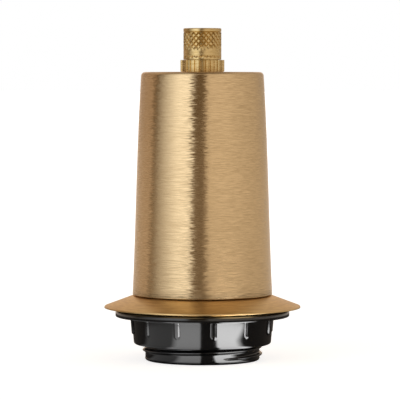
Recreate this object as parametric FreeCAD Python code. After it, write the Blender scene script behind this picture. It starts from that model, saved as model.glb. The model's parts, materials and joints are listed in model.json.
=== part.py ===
import FreeCAD, Part
import math
import os

# A pendant holder for an E27 screw lamp, standing on the rim of its black skirt.
# Millimetres, +Z up, origin at the centre of the skirt's bottom rim.
# From the top: a brass cord grip, a tapered brass cup, a conical brass shade flange,
# a black shade ring with ribs, and the black skirt with its 40 mm shade thread.

Vector = FreeCAD.Vector
ORIGIN = Vector(0, 0, 0)
UP = Vector(0, 0, 1)

# Clearances between pieces.
turning_gap = 0.10
thread_gap = 0.05
sliding_gap = 0.20
seat_gap = 0.08
edge_break = 0.3

# Skirt: a moulded sleeve with the shade thread outside and a ledge inside.
shade_thread_radius = 20.0
shade_thread_depth = 0.95
skirt_height = 34.0
skirt_wall = 2.1
thread_start = 1.6
thread_length = 29.0
mouth_depth = 7.5
ledge_drop = 1.1
ledge_thickness = 1.4
ledge_bore = 14.3
insert_seat = 26.0
chamber_radius = 16.3
skirt_mouth_bevel = 0.5
skirt_lip_bevel = 1.0

# Shade ring: a nut for the shade thread, with a wide rim and twelve ribs.
ring_bottom = 5.4
ring_top = 17.0
ring_body_radius = 23.6
ring_foot_radius = 22.85
ring_corner = 1.0
ring_rim_radius = 29.0
ring_rim_root = 13.2
ring_rim_edge = 14.65
ring_rim_top_bevel = 0.4
ring_rim_low_bevel = 0.7
rib_count = 12
rib_first_angle = 9.3
rib_half_width = 0.9
rib_stand = 0.55
rib_end = 9.7

# Shade flange: a pressed brass cone with a rolled edge and a plunged collar.
flange_tip_radius = 32.7
flange_tip_height = 17.7
flange_slope = 20.5
flange_sheet = 0.7
flange_roll = 0.45
flange_bend = 0.8

# Cup: spun brass, closed at the top, with a gently waisted wall.
cup_top = 95.9
cup_wall = 0.9
cup_shoulder_radius = 20.3
cup_shoulder_round = 1.2
cup_rim_radius = 23.3
cup_shoulder_lean = 3.6
cup_rim_lean = 2.8
cup_stub = 2.0
cup_wall_stretches = 3

# Threaded tube (M10 x 1) that carries everything.
tube_radius = 4.95
tube_bore = 3.75
tube_foot = 52.5

# Cord grip: fluted body, slotted clamp, knurled cap.
collar_radius = 7.3
collar_height = 4.0
collar_thread_depth = 3.6
flute_count = 28
flute_cutter = 1.0
flute_depth = 0.38
spigot_radius = 5.4
spigot_height = 5.7
grip_throat = 1.9
clamp_seat_angle = 12.0
cap_radius = 6.3
cap_height = 10.4
cap_lift = 0.1
cap_hole = 3.7
cap_thread_depth = 6.5
cap_groove_drop = 1.1
cap_groove_width = 0.3
cap_groove_depth = 0.2
clamp_bore = 3.2
clamp_radius = 4.5
clamp_foot_rise = 2.1
clamp_slot_width = 0.6
clamp_slot_count = 4
clamp_slot_top = 1.6

# Pieces on the tube below the cup's top.
tag_sheet = 0.8
tag_ring_radius = 8.0
tag_half_width = 3.5
tag_drop = 12.0
tag_inner_face = 9.2
washer_thickness = 0.7
washer_radius = 8.0
washer_tooth_count = 12
washer_tooth_depth = 1.2
washer_tooth_gap = 0.9
nut_across_flats = 14.0
nut_thickness = 3.0
earth_screw_radius = 1.7
earth_head_radius = 3.2
earth_head_height = 1.8
earth_shank = 3.6
earth_screw_rise = 3.5

# Holder cap: the black dome above the skirt, and its brass thread bush.
dome_radius = 19.4
dome_wall = 2.0
dome_shoulder_height = 15.0
dome_shoulder_round = 8.0
dome_inner_bevel = 3.0
dome_roof_rise = 4.5
dome_neck_radius = 9.5
dome_neck_height = 5.5
plug_wall = 1.9
bush_radius = 7.0
bush_flange_radius = 8.4
bush_flange_thickness = 1.2
lock_screw_radius = 1.45
lock_screw_drop = 2.5

# Insert: the insulating block that carries the live pieces.
insert_flange = 4.0
insert_block_radius = 13.0
insert_block_rise = 6.0
insert_fin_thickness = 1.6
insert_fin_height = 5.0
insert_fin_length = 16.0
insert_fin_place = -4.4
plunger_pocket_radius = 3.4
plunger_pocket_floor = 2.0

# Screw shell for the lamp, with its two rivets.
shell_bore = 13.3
shell_wall = 0.35
shell_lip = 0.9
shell_neck_height = 4.2
shell_step = 0.7
shell_window = 6.5
rivet_radius = 1.1
rivet_head_radius = 1.9
rivet_head_height = 0.6
rivet_circle = 10.4
rivet_angles = (135.0, -45.0)

# Sprung centre contact.
plunger_head_radius = 3.0
plunger_head_height = 1.8
plunger_stem_radius = 1.65
plunger_travel = 1.5
plunger_spare = 0.3
plunger_collar_radius = 3.1
plunger_collar_height = 1.0
spring_wire = 0.5
spring_radius = 2.3
spring_turns = 4

# Terminals, each with its screw.
terminal_sheet = 0.8
terminal_width = 5.6
terminal_length = 5.0
terminal_rise = 6.5
terminal_wire_radius = 1.4
terminal_wire_height = 3.3
terminal_screw_radius = 1.2
terminal_screw_length = 3.6
live_pillar_place = 8.0
neutral_pillar_place = -8.4
slot_width = 0.5
slot_depth = 0.6

# Heights and radii that follow from the sizes above.
land_radius = shade_thread_radius - shade_thread_depth + 0.1
mouth_radius = land_radius - skirt_wall
ledge_foot = mouth_depth + ledge_drop
ledge_top = ledge_foot + ledge_thickness
plug_radius = mouth_radius + 0.1
upper_bore = plug_radius + sliding_gap
insert_radius = upper_bore - sliding_gap
insert_shelf = insert_seat + insert_flange
insert_top = insert_shelf + insert_block_rise
shell_top = insert_seat
shell_step_height = shell_top - shell_neck_height
cone_rise = math.tan(math.radians(flange_slope))
roll_centre_radius = flange_tip_radius - flange_roll
cup_inner_rim = cup_rim_radius - cup_wall
cup_ceiling = cup_top - cup_wall
grip_foot = cup_top
collar_top = grip_foot + collar_height
spigot_top = collar_top + spigot_height
throat_foot = grip_foot + collar_thread_depth
throat_top = throat_foot + grip_throat
cap_foot = collar_top + cap_lift
cap_top = cap_foot + cap_height
cap_thread_radius = spigot_radius + turning_gap
cap_cone_foot = cap_foot + cap_thread_depth
tube_top = throat_foot - seat_gap
tube_hole = tube_radius + thread_gap
tag_top = cup_ceiling
washer_top = tag_top - tag_sheet
nut_top = washer_top - washer_thickness
dome_foot = skirt_height
dome_shoulder = dome_foot + dome_shoulder_height
dome_roof = dome_shoulder + dome_roof_rise
dome_top = dome_roof + dome_neck_height
dome_ceiling = dome_roof - dome_wall * 0.75
spring_roof = insert_top
plunger_shelf = insert_seat + plunger_pocket_floor
plunger_head_top = insert_seat - plunger_travel - plunger_spare
spring_foot = plunger_shelf + plunger_collar_height


def cone_surface(radius):
    """Height of the shade flange's upper face at a radius."""
    slope = math.radians(flange_slope)
    touch_radius = roll_centre_radius + flange_roll * math.sin(slope)
    touch_height = flange_tip_height + flange_roll * math.cos(slope)
    return touch_height + (touch_radius - radius) * cone_rise


def rounded(radius, height, size):
    """An outline corner with a round of that size."""
    return "rounded", (radius, height), size


def bevelled(radius, height, size=edge_break):
    """An outline corner with a flat bevel of that size."""
    return "bevelled", (radius, height), size


def corner_cut(before, corner, after, size, kind):
    """Ends, and the middle if it is round, of the cut on a corner between two straight runs."""
    to_before = before - corner
    to_after = after - corner
    room = 0.48 * min(to_before.Length, to_after.Length)
    to_before.normalize()
    to_after.normalize()
    half_angle = to_before.getAngle(to_after) / 2
    reach = min(size / math.tan(half_angle) if kind == "rounded" else size, room)
    inward = to_before + to_after
    inward.normalize()
    real_size = reach * math.tan(half_angle)
    middle = corner + inward * (real_size / math.sin(half_angle) - real_size)
    return corner + to_before * reach, middle, corner + to_after * reach


def flat_point(point):
    return Vector(point[0], 0, point[1])


def turned(outline):
    """A solid of revolution about Z from a closed outline of (radius, height) points.

    A point may also be rounded() or bevelled().
    """
    places = [entry[1] if isinstance(entry[0], str) else entry for entry in outline]
    points = [flat_point(place) for place in places]
    runs = []
    for index, entry in enumerate(outline):
        if isinstance(entry[0], str):
            kind, _, size = entry
            after = points[(index + 1) % len(points)]
            first, middle, last = corner_cut(points[index - 1], points[index], after, size, kind)
            runs.append((first, None))
            runs.append((last, middle if kind == "rounded" else None))
        else:
            runs.append((points[index], None))
    edges = []
    here = runs[-1][0]
    for there, arc_middle in runs:
        if arc_middle:
            edges.append(Part.Arc(here, arc_middle, there).toShape())
        elif there.distanceToPoint(here) > 1e-6:
            edges.append(Part.LineSegment(here, there).toShape())
        here = there
    solid = Part.Face(Part.Wire(edges)).revolve(ORIGIN, UP, 360)
    if solid.Volume < 0:
        solid.reverse()
    return solid


def pin(radius, foot, height, x=0.0, y=0.0):
    return Part.makeCylinder(radius, height, Vector(x, y, foot), UP)


def block(x_range, y_range, z_range):
    size = [high - low for low, high in (x_range, y_range, z_range)]
    return Part.makeBox(size[0], size[1], size[2], Vector(x_range[0], y_range[0], z_range[0]))


def around(shape, count, first_angle=0.0):
    """Copies of a shape, evenly spaced about Z."""
    copies = []
    for place in range(count):
        copy = shape.copy()
        copy.rotate(ORIGIN, UP, first_angle + 360.0 * place / count)
        copies.append(copy)
    return copies


def single(shape):
    """The one solid of a shape that booleans left as a compound."""
    joined = shape.removeSplitter()
    return joined.Solids[0] if len(joined.Solids) == 1 else joined


def make_skirt():
    thread_top = thread_start + thread_length
    lead = shade_thread_radius - land_radius
    return turned([
        bevelled(mouth_radius, 0, skirt_mouth_bevel),
        bevelled(land_radius, 0, skirt_lip_bevel),
        (land_radius, thread_start),
        (shade_thread_radius, thread_start + lead),
        (shade_thread_radius, thread_top - lead),
        (land_radius, thread_top),
        bevelled(land_radius, skirt_height),
        (upper_bore, skirt_height),
        (upper_bore, insert_seat),
        (chamber_radius, insert_seat),
        (chamber_radius, ledge_top),
        (ledge_bore, ledge_top),
        (ledge_bore, ledge_foot),
        (mouth_radius, mouth_depth),
    ])


def make_shade_ring():
    bore = shade_thread_radius + turning_gap
    body = turned([
        bevelled(bore, ring_bottom),
        bevelled(ring_foot_radius, ring_bottom, ring_corner),
        (ring_body_radius, ring_rim_root),
        bevelled(ring_rim_radius, ring_rim_edge, ring_rim_low_bevel),
        bevelled(ring_rim_radius, ring_top, ring_rim_top_bevel),
        bevelled(bore, ring_top),
    ])
    bars = Part.makeCompound(around(make_rib_bar(), rib_count, rib_first_angle - 90.0))
    ribs_outside = turned([
        (0, ring_bottom),
        (ring_foot_radius + rib_stand, ring_bottom),
        (ring_body_radius + rib_stand, ring_rim_root),
        (ring_body_radius + rib_stand, ring_top),
        (0, ring_top),
    ])
    return single(body.fuse(bars.common(ribs_outside)))


def make_rib_bar():
    """An upright bar with a round lower end, longer outwards than the rib that is left of it."""
    inside = ring_foot_radius - rib_stand
    low_left = Vector(inside, -rib_half_width, rib_end)
    low_right = Vector(inside, rib_half_width, rib_end)
    top_left = Vector(inside, -rib_half_width, ring_rim_edge)
    top_right = Vector(inside, rib_half_width, ring_rim_edge)
    lowest = Vector(inside, 0, rib_end - rib_half_width)
    outline = Part.Wire([
        Part.LineSegment(top_left, low_left).toShape(),
        Part.Arc(low_left, lowest, low_right).toShape(),
        Part.LineSegment(low_right, top_right).toShape(),
        Part.LineSegment(top_right, top_left).toShape(),
    ])
    return Part.Face(outline).extrude(Vector(ring_body_radius + 2 * rib_stand - inside, 0, 0))


def make_shade_flange():
    bore = shade_thread_radius + sliding_gap
    slope = math.radians(flange_slope)
    collar = bore + flange_sheet
    collar_foot = ring_top + seat_gap
    under = flange_sheet / math.cos(slope)
    roll_inside = flange_tip_radius - 2 * flange_roll
    roll_foot = flange_tip_height - flange_roll
    roll_top = cone_surface(flange_tip_radius)
    return turned([
        (bore, collar_foot),
        (collar, collar_foot),
        (collar, cone_surface(collar) - under),
        (roll_inside, cone_surface(roll_inside) - under),
        bevelled(roll_inside, roll_foot),
        bevelled(flange_tip_radius, roll_foot, flange_roll * 0.6),
        bevelled(flange_tip_radius, roll_top, flange_roll * 0.6),
        bevelled(bore, cone_surface(bore), flange_bend),
    ])


def cup_wall_points(rim_height):
    """Points down the cup's outer wall: it leans out more at both of its ends than at its waist."""
    stub_foot = cup_top - cup_stub
    length = stub_foot - rim_height
    top_slope = math.tan(math.radians(cup_shoulder_lean))
    rim_slope = math.tan(math.radians(cup_rim_lean))
    top_radius = cup_shoulder_radius + cup_stub * top_slope
    gain = cup_rim_radius - top_radius
    points = []
    for place in range(cup_wall_stretches + 1):
        t = place / cup_wall_stretches
        eased = t * t * (3 - 2 * t)
        bend = length * (top_slope * t * (1 - t) ** 2 - rim_slope * t * t * (1 - t))
        points.append((top_radius + gain * eased + bend, stub_foot - length * t))
    return points


def make_cup():
    outer_wall = cup_wall_points(cone_surface(cup_inner_rim) + seat_gap)
    inner_wall = [(radius - cup_wall, height) for radius, height in outer_wall]
    hole = tube_hole + seat_gap
    return turned([
        (hole, cup_ceiling),
        bevelled(cup_shoulder_radius - cup_wall, cup_ceiling, cup_shoulder_round - cup_wall / 2),
        *inner_wall,
        *reversed(outer_wall),
        rounded(cup_shoulder_radius, cup_top, cup_shoulder_round),
        (hole, cup_top),
    ])


def make_grip_body():
    cone_run = (spigot_top - throat_top) * math.tan(math.radians(clamp_seat_angle))
    body = turned([
        (tube_hole, grip_foot),
        bevelled(collar_radius, grip_foot),
        (collar_radius, collar_top),
        (spigot_radius, collar_top),
        bevelled(spigot_radius, spigot_top),
        (tube_bore + cone_run, spigot_top),
        (tube_bore, throat_top),
        (tube_bore, throat_foot),
        (tube_hole, throat_foot),
    ])
    half = flute_cutter / 2
    cutter = block((-half, half), (-half, half), (grip_foot + edge_break, collar_top + 1))
    cutter.rotate(ORIGIN, UP, 45)
    cutter.translate(Vector(collar_radius - flute_depth + half * math.sqrt(2), 0, 0))
    return single(body.cut(Part.makeCompound(around(cutter, flute_count))))


def make_clamp():
    seat_slope = math.tan(math.radians(clamp_seat_angle))
    foot = collar_top + clamp_foot_rise
    foot_radius = tube_bore + (foot - throat_top) * seat_slope - seat_gap
    top_radius = cap_hole + edge_break
    corner = cap_cone_foot + cap_thread_radius - clamp_radius - seat_gap
    top = cap_cone_foot + cap_thread_radius - top_radius - seat_gap
    seat_reach = foot + (clamp_radius - foot_radius) / seat_slope
    body = turned([
        (clamp_bore, foot),
        (foot_radius, foot),
        (clamp_radius, seat_reach),
        (clamp_radius, corner),
        (top_radius, top),
        (clamp_bore, top),
    ])
    half = clamp_slot_width / 2
    slot = block((0, clamp_radius + 1), (-half, half), (foot - 1, top - clamp_slot_top))
    return single(body.cut(Part.makeCompound(around(slot, clamp_slot_count, 45.0))))


def make_grip_cap():
    cone_top = cap_cone_foot + cap_thread_radius - cap_hole
    groove_top = cap_top - cap_groove_drop
    groove_foot = groove_top - cap_groove_width
    return turned([
        (cap_thread_radius, cap_foot),
        (cap_radius, cap_foot),
        (cap_radius, groove_foot),
        (cap_radius - cap_groove_depth, groove_foot + cap_groove_width / 2),
        (cap_radius, groove_top),
        bevelled(cap_radius, cap_top),
        bevelled(cap_hole, cap_top),
        (cap_hole, cone_top),
        (cap_thread_radius, cap_cone_foot),
    ])


def make_tube():
    return pin(tube_radius, tube_foot, tube_top - tube_foot).cut(
        pin(tube_bore, tube_foot - 1, tube_top - tube_foot + 2))


def make_earth_tag():
    ring = pin(tag_ring_radius, tag_top - tag_sheet, tag_sheet)
    outer_face = tag_inner_face + tag_sheet
    width = (-tag_half_width, tag_half_width)
    arm = block(width, (0, outer_face), (tag_top - tag_sheet, tag_top))
    leg = block(width, (tag_inner_face, outer_face), (tag_top - tag_drop, tag_top))
    hole = pin(tube_hole + seat_gap, tag_top - tag_sheet - 1, tag_sheet + 2)
    screw_hole = Part.makeCylinder(earth_screw_radius + thread_gap, tag_sheet + 2,
                                   Vector(0, tag_inner_face - 1, earth_screw_height()), Vector(0, 1, 0))
    return single(ring.fuse([arm, leg]).cut([hole, screw_hole]))


def earth_screw_height():
    return tag_top - tag_drop + earth_screw_rise


def make_earth_screw():
    along = Vector(0, 1, 0)
    face = tag_inner_face + tag_sheet
    height = earth_screw_height()
    head = Part.makeCylinder(earth_head_radius, earth_head_height, Vector(0, face, height), along)
    shank = Part.makeCylinder(earth_screw_radius, earth_shank, Vector(0, face - earth_shank, height), along)
    half = slot_width / 2
    outer = face + earth_head_height
    slot = block((-earth_head_radius, earth_head_radius), (outer - slot_depth, outer + 1),
                 (height - half, height + half))
    return single(head.fuse(shank).cut(slot))


def make_washer():
    ring = pin(washer_radius, nut_top, washer_thickness).cut(pin(tube_hole, nut_top - 1, washer_thickness + 2))
    half = washer_tooth_gap / 2
    gap = block((0, tube_hole + washer_tooth_depth), (-half, half), (nut_top - 1, nut_top + 2))
    return single(ring.cut(Part.makeCompound(around(gap, washer_tooth_count))))


def make_nut():
    corner_radius = nut_across_flats / math.sqrt(3)
    corners = [Vector(corner_radius * math.cos(math.radians(60 * i)),
                      corner_radius * math.sin(math.radians(60 * i)), nut_top - nut_thickness)
               for i in range(7)]
    hexagon = Part.Face(Part.makePolygon(corners)).extrude(Vector(0, 0, nut_thickness))
    flat = nut_across_flats / 2
    chamfer = corner_radius - flat
    turned_limit = turned([
        (0, nut_top - nut_thickness),
        (flat, nut_top - nut_thickness),
        (corner_radius, nut_top - nut_thickness + chamfer / 2),
        (corner_radius, nut_top - chamfer / 2),
        (flat, nut_top),
        (0, nut_top),
    ])
    bore = pin(tube_hole, nut_top - nut_thickness - 1, nut_thickness + 2)
    return single(hexagon.common(turned_limit).cut(bore))


def lock_screw_height():
    return dome_top - lock_screw_drop


def radial_pin(radius, start, end, height):
    return Part.makeCylinder(radius, end - start, Vector(start, 0, height), Vector(1, 0, 0))


def make_holder_cap():
    inner = dome_radius - dome_wall
    plug_foot = insert_shelf + seat_gap
    hub_hole = bush_radius + thread_gap
    roof_edge = dome_ceiling - dome_roof_rise
    body = turned([
        (plug_radius - plug_wall, plug_foot),
        bevelled(plug_radius, plug_foot),
        (plug_radius, dome_foot + seat_gap),
        (dome_radius, dome_foot + seat_gap),
        rounded(dome_radius, dome_shoulder, dome_shoulder_round),
        (dome_neck_radius, dome_roof),
        bevelled(dome_neck_radius, dome_top),
        (hub_hole, dome_top),
        (hub_hole, dome_ceiling),
        (dome_neck_radius, dome_ceiling),
        bevelled(inner, roof_edge, dome_inner_bevel),
        (inner, dome_foot + dome_wall),
        (plug_radius - plug_wall, dome_foot),
    ])
    hole = radial_pin(lock_screw_radius + thread_gap, bush_radius - 1, dome_neck_radius + 1, lock_screw_height())
    return single(body.cut(hole))


def make_cap_bush():
    foot = dome_ceiling - bush_flange_thickness
    body = turned([
        (tube_hole, foot),
        bevelled(bush_flange_radius, foot),
        (bush_flange_radius, dome_ceiling),
        (bush_radius, dome_ceiling),
        (bush_radius, dome_top + edge_break),
        (tube_hole, dome_top + edge_break),
    ])
    hole = radial_pin(lock_screw_radius + thread_gap, tube_radius - 1, bush_radius + 1, lock_screw_height())
    return single(body.cut(hole))


def make_lock_screw():
    outer = dome_neck_radius - edge_break
    height = lock_screw_height()
    body = radial_pin(lock_screw_radius, tube_radius + thread_gap, outer, height)
    half = slot_width / 2
    slot = block((outer - slot_depth, outer + 1), (-2 * lock_screw_radius, 2 * lock_screw_radius),
                 (height - half, height + half))
    return single(body.cut(slot))


def rivet_places():
    return [(rivet_circle * math.cos(math.radians(angle)), rivet_circle * math.sin(math.radians(angle)))
            for angle in rivet_angles]


def make_insert():
    body = turned([
        (0, insert_seat),
        bevelled(insert_radius, insert_seat),
        bevelled(insert_radius, insert_shelf),
        (insert_block_radius, insert_shelf),
        bevelled(insert_block_radius, insert_top, edge_break * 2),
        (0, insert_top),
    ])
    half_fin = insert_fin_thickness / 2
    fin = block((insert_fin_place - half_fin, insert_fin_place + half_fin),
                (-insert_fin_length / 2, insert_fin_length / 2),
                (insert_top - 1, insert_top + insert_fin_height))
    holes = [pin(rivet_radius + thread_gap, insert_seat - 1, insert_top - insert_seat + 2, x, y)
             for x, y in rivet_places()]
    holes.append(pin(plunger_stem_radius + turning_gap, insert_seat - 1, plunger_pocket_floor + 2))
    holes.append(pin(plunger_pocket_radius, plunger_shelf, insert_top - plunger_shelf + 1))
    return single(body.fuse(fin).cut(holes))


def make_shell():
    outer = shell_bore + shell_wall
    foot = ledge_top + seat_gap
    lip = outer + shell_lip
    body = turned([
        (shell_bore, foot),
        (lip, foot),
        (lip, foot + shell_wall),
        (outer, foot + shell_wall),
        bevelled(outer, shell_step_height + shell_wall),
        (outer - shell_step, shell_step_height + shell_wall),
        bevelled(outer - shell_step, shell_top),
        (shell_window, shell_top),
        (shell_window, shell_top - shell_wall),
        (shell_bore - shell_step, shell_top - shell_wall),
        (shell_bore - shell_step, shell_step_height),
        (shell_bore, shell_step_height),
    ])
    holes = [pin(rivet_radius + thread_gap, shell_top - 1, 2, x, y) for x, y in rivet_places()]
    return single(body.cut(holes))


def make_rivets():
    rivets = []
    for place, (x, y) in enumerate(rivet_places()):
        under = shell_top - shell_wall
        over = insert_top + (terminal_sheet if place == 0 else 0)
        shank = pin(rivet_radius, under, over - under, x, y)
        low_head = pin(rivet_head_radius, under - rivet_head_height, rivet_head_height, x, y)
        high_head = pin(rivet_head_radius, over, rivet_head_height, x, y)
        rivets.append(single(shank.fuse([low_head, high_head])))
    return Part.makeCompound(rivets)


def make_centre_contact():
    head_foot = plunger_head_top - plunger_head_height
    return turned([
        (0, head_foot),
        rounded(plunger_head_radius, head_foot, plunger_head_height * 0.4),
        (plunger_head_radius, plunger_head_top),
        (plunger_stem_radius, plunger_head_top),
        (plunger_stem_radius, plunger_shelf + seat_gap),
        (plunger_collar_radius, plunger_shelf + seat_gap),
        (plunger_collar_radius, spring_foot),
        (0, spring_foot),
    ])


def make_contact_spring():
    """A coil spring of square wire, from the plunger's collar to the live terminal's plate."""
    half = spring_wire / 2
    low = spring_foot + seat_gap + half
    high = spring_roof - seat_gap - half
    helix = Part.makeHelix((high - low) / spring_turns, high - low, spring_radius)
    helix.translate(Vector(0, 0, low))
    corners = [(-half, -half), (half, -half), (half, half), (-half, half), (-half, -half)]
    section = Part.makePolygon([Vector(spring_radius + out, 0, low + up) for out, up in corners])
    return Part.Wire(helix.Edges).makePipeShell([section], True, True)


def terminal_pillar(place):
    half_length = terminal_length / 2
    half_width = terminal_width / 2
    pillar = block((place - half_length, place + half_length), (-half_width, half_width),
                   (insert_top, insert_top + terminal_rise))
    wire_way = Part.makeCylinder(terminal_wire_radius, terminal_width + 2,
                                 Vector(place, -half_width - 1, insert_top + terminal_wire_height),
                                 Vector(0, 1, 0))
    screw_way = pin(terminal_screw_radius + thread_gap, insert_top + terminal_wire_height,
                    terminal_rise, place)
    return pillar, wire_way, screw_way


def make_live_terminal():
    pillar, wire_way, screw_way = terminal_pillar(live_pillar_place)
    half_width = terminal_width / 2
    plate = block((-plunger_pocket_radius + insert_fin_thickness / 2, live_pillar_place),
                  (-half_width, half_width), (insert_top, insert_top + terminal_sheet))
    return single(pillar.fuse(plate).cut([wire_way, screw_way]))


def make_neutral_terminal():
    pillar, wire_way, screw_way = terminal_pillar(neutral_pillar_place)
    half_width = terminal_width / 2
    x, y = rivet_places()[0]
    plate = block((x - rivet_head_radius, x + rivet_radius), (-half_width, y),
                  (insert_top, insert_top + terminal_sheet))
    eye = pin(rivet_head_radius, insert_top, terminal_sheet, x, y)
    rivet_way = pin(rivet_radius + thread_gap, insert_top - 1, terminal_sheet + 2, x, y)
    return single(pillar.fuse([plate, eye]).cut([wire_way, screw_way, rivet_way]))


def make_terminal_screws():
    screws = []
    top = insert_top + terminal_rise + slot_depth
    half = slot_width / 2
    for place in (live_pillar_place, neutral_pillar_place):
        body = pin(terminal_screw_radius, top - terminal_screw_length, terminal_screw_length, place)
        slot = block((place - half, place + half), (-2 * terminal_screw_radius, 2 * terminal_screw_radius),
                     (top - slot_depth, top + 1))
        screws.append(single(body.cut(slot)))
    return Part.makeCompound(screws)


PIECES = {
    "cord_grip_cap": make_grip_cap,
    "cord_clamp": make_clamp,
    "cord_grip_body": make_grip_body,
    "threaded_tube": make_tube,
    "cup": make_cup,
    "earth_tag": make_earth_tag,
    "earth_screw": make_earth_screw,
    "lock_washer": make_washer,
    "cup_nut": make_nut,
    "holder_cap": make_holder_cap,
    "cap_bush": make_cap_bush,
    "bush_lock_screw": make_lock_screw,
    "insert": make_insert,
    "live_terminal": make_live_terminal,
    "neutral_terminal": make_neutral_terminal,
    "terminal_screws": make_terminal_screws,
    "centre_contact": make_centre_contact,
    "contact_spring": make_contact_spring,
    "screw_shell": make_shell,
    "shell_rivets": make_rivets,
    "skirt": make_skirt,
    "shade_ring": make_shade_ring,
    "shade_flange": make_shade_flange,
}

os.makedirs("parts", exist_ok=True)
for node, make in PIECES.items():
    shape = make()
    shape.exportStep(os.path.join("parts", node + ".step"))
    box = shape.BoundBox
    print(f"{node:18s} solids {len(shape.Solids)} volume {shape.Volume:9.1f} "
          f"x {box.XMin:7.2f} {box.XMax:7.2f} z {box.ZMin:7.2f} {box.ZMax:7.2f} valid {shape.isValid()}")
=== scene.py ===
# %% [markdown]
# # A pendant lamp holder, dressed in brass and black
#
# The construction of the holder is already there: twenty-three parts, made as solids at their real
# size and loaded as a fixed frame. This notebook gives them their looks. Pieces whose surface
# carries more than a plain solid shows, such as the knurled cap and the two screw threads, are
# modelled again here, exactly where the solids are. The others keep their solid and get a better
# finish.
#
# Blender and the frame count in metres. Turned pieces are easier to read in millimetres, so their
# sizes are written in millimetres, and MM turns them into metres.

import json
import math

import bmesh
import bpy
from mathutils.geometry import interpolate_bezier
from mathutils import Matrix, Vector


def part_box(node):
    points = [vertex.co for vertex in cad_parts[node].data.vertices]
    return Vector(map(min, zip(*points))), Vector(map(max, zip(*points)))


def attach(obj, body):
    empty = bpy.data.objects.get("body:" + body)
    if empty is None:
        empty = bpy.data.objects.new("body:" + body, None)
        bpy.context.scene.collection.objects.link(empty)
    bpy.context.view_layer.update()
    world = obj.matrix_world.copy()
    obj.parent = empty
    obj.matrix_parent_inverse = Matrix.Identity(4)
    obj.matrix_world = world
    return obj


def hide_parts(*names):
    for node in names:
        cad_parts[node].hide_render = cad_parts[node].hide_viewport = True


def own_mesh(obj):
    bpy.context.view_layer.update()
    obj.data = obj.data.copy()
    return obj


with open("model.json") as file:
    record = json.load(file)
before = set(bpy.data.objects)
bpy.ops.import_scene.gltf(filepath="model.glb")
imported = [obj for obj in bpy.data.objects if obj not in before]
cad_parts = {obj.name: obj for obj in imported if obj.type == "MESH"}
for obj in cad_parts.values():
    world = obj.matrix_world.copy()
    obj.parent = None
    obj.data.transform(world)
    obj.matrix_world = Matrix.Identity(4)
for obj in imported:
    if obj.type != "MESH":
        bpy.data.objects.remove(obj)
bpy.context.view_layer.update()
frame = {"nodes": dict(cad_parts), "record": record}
MM = 0.001
TURN = 2 * math.pi
print("nodes:", len(frame["nodes"]))

# %% [markdown]
# ## Reading sizes from the frame
#
# A new piece has to sit where its solid sits, so its main heights and radii are read from the
# solid's box and never typed twice. The box of a round piece gives its outer radius and its two
# ends.

# %% Measure the solids
def extent(node):
    """Outer radius, lowest and highest height of a round node, in millimetres."""
    low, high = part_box(node)
    return high.x / MM, low.z / MM, high.z / MM


cup_rim_radius, cup_rim, cup_top = extent("cup")
flange_radius, flange_foot, _ = extent("shade_flange")
ring_radius, ring_foot, ring_top = extent("shade_ring")
thread_crest, _, skirt_top = extent("skirt")
cap_radius, cap_foot, cap_top = extent("cord_grip_cap")
collar_radius, collar_foot, spigot_top = extent("cord_grip_body")
shell_lip_radius, shell_foot, shell_top = extent("screw_shell")
print(f"cup rim radius {cup_rim_radius:.2f} mm, from {cup_rim:.2f} to {cup_top:.2f} mm")
print(f"flange radius {flange_radius:.2f} mm, shade ring radius {ring_radius:.2f} mm")

# %% [markdown]
# ## The camera
#
# The photograph looks almost level at the holder: the cup's top is at eye height, and the rims below
# it show as shallow ellipses. Two numbers fix the view. The first is the scale, three pixels to a
# millimetre at the holder's axis. The second is the distance, told by how much rounder the lower
# ellipses are than the upper ones, and written in pixels too. The lens then follows from both, and
# the camera's height from the two rows where the horizon and the holder's foot lie.

# %% Set up the camera
PHOTO_SIZE = 400.0
SENSOR = 0.036
scale_at_axis = 3.005 / MM
photo_distance = 2600.0
horizon_row = 84.0
axis_column = 202.4
foot_row = 359.5

middle = PHOTO_SIZE / 2
camera_distance = photo_distance / scale_at_axis
look_down = math.atan((middle - horizon_row) / photo_distance)
foot_below_eye = look_down + math.atan((foot_row - middle) / photo_distance)
camera_height = camera_distance * math.tan(foot_below_eye)
look_aside = math.atan((axis_column - middle) / photo_distance)
camera_data = bpy.data.cameras.new("camera")
camera_data.sensor_width = SENSOR / MM
camera_data.lens = SENSOR / MM * photo_distance / PHOTO_SIZE
camera = bpy.data.objects.new("camera", camera_data)
camera.location = (0, -camera_distance, camera_height)
camera.rotation_euler = (math.pi / 2 - look_down, 0, look_aside)
bpy.context.scene.collection.objects.link(camera)
bpy.context.scene.camera = camera
print(f"camera {camera_distance:.3f} m away and {camera_height:.3f} m up, lens {camera_data.lens:.0f} mm")

# %% [markdown]
# ## Turning a profile
#
# Nearly every piece here was turned, spun or moulded round an axis, so nearly every mesh is a
# profile that is spun. A lathe function keeps that in one place. It lays the profile out as a
# wire, rounds the corners that ask for it with a vertex bevel, cuts the stretches that carry a
# pattern into short rows, and spins the wire a full turn with its seam merged.
#
# A corner of a profile is a radius and a height in millimetres, then a rounding if it has one. A
# vertex counts as inside a band if it is off by less than the slack, which is in metres.

# %% Draw a profile as a wire
SLACK = 1e-6


def profile_wire(bm, corners):
    """A closed wire through (radius, height) corners, with the named roundings made."""
    verts = [bm.verts.new((corner[0] * MM, 0, corner[1] * MM)) for corner in corners]
    for index, vert in enumerate(verts):
        bm.edges.new((vert, verts[(index + 1) % len(verts)]))
    for vert, corner in zip(verts, corners):
        if len(corner) > 2:
            bmesh.ops.bevel(bm, geom=[vert], offset=corner[2] * MM, offset_type="OFFSET", segments=5,
                            profile=0.5, affect="VERTICES", material=-1)


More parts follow.
